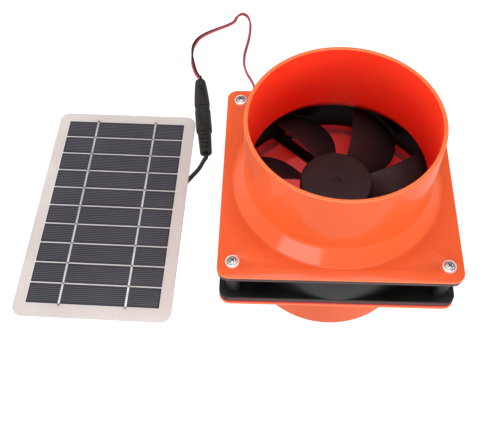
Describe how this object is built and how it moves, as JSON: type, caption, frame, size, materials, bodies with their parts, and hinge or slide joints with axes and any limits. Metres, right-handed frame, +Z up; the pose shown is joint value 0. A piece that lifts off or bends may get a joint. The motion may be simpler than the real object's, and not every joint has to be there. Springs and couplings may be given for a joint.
{
  "type": "solar attic fan",
  "caption": "Square axial fan between two round duct collars, powered through a plug-in lead by a flat rectangular solar panel that lies beside it.",
  "frame": {"origin": "fan axis at the rim of the lower collar, on the surface that the fan stands on", "axes": "+Z up along the fan axis towards the upper collar; X and Y along the sides of the square frame, +Y away from the viewer"},
  "size_m": [0.2432, 0.2717, 0.123],
  "materials": {
    "duct_orange": "satin moulded",
    "fan_black": "fine moulded matte",
    "impeller_black": "fine moulded matte",
    "screw_steel": "bright plated",
    "nut_steel": "zinc plated",
    "bronze": "sintered, oiled",
    "white_nylon": "smooth",
    "felt": "oiled felt",
    "core_steel": "laminated",
    "bobbin_plastic": "smooth",
    "copper_wire": "enamelled",
    "board_green": "solder mask",
    "chip_black": "moulded",
    "capacitor_can": "satin",
    "label_foil": "blank foil",
    "lead_red_black": "soft vinyl, one red core and one black",
    "lead_black": "soft vinyl",
    "connector_black": "soft moulded vinyl",
    "contact_metal": "plated",
    "plug_metal": "nickel plated",
    "yoke_steel": "zinc plated",
    "magnet_black": "bonded ferrite",
    "shaft_steel": "ground",
    "panel_white": "white board",
    "cell_silicon": "dark blue grey, fine printed fingers",
    "ribbon_silver": "tinned",
    "epoxy_clear": "clear resin",
    "box_black": "moulded"
  },
  "bodies": {
    "fan_unit": {"upper_duct_adapter": "duct_orange", "lower_duct_adapter": "duct_orange", "fan_frame": "fan_black", "corner_screws": "screw_steel", "corner_washers": "nut_steel", "corner_nuts": "nut_steel", "bearing_sleeve": "bronze", "thrust_pad": "white_nylon", "oil_ring": "felt", "stator_core": "core_steel", "upper_bobbin": "bobbin_plastic", "lower_bobbin": "bobbin_plastic", "stator_windings": "copper_wire", "circuit_board": "board_green", "driver_chip": "chip_black", "hall_sensor": "chip_black", "filter_capacitor": "capacitor_can", "motor_label": "label_foil", "strut_lead": "lead_red_black", "fan_lead": "lead_red_black", "jack_shell": "connector_black", "jack_insert": "chip_black", "jack_pin": "contact_metal"},
    "impeller": {"impeller": "impeller_black", "rotor_yoke": "yoke_steel", "ring_magnet": "magnet_black", "shaft_bushing": "bronze", "motor_shaft": "shaft_steel", "retaining_clip": "nut_steel"},
    "solar_panel": {"panel_board": "panel_white", "solar_cells": "cell_silicon", "busbar_ribbons": "ribbon_silver", "epoxy_coat": "epoxy_clear", "junction_box": "box_black", "junction_lid": "box_black", "lid_screws": "nut_steel", "blocking_diode": "chip_black", "solder_tabs": "ribbon_silver", "panel_gland": "box_black", "panel_lead": "lead_black", "plug_shell": "connector_black", "plug_barrel": "plug_metal", "plug_insulator": "chip_black", "plug_contact": "contact_metal"}
  },
  "joints": [
    {"name": "fan_spin", "type": "hinge", "parent": "fan_unit", "child": "impeller", "pos_m": [0, 0, 0], "axis": [0, 0, 1], "continuous": true},
    {"name": "plug_pull", "type": "slide", "parent": "fan_unit", "child": "solar_panel", "axis": [0.1288, -0.9917, 0], "range_m": [0, 0.02]}
  ]
}
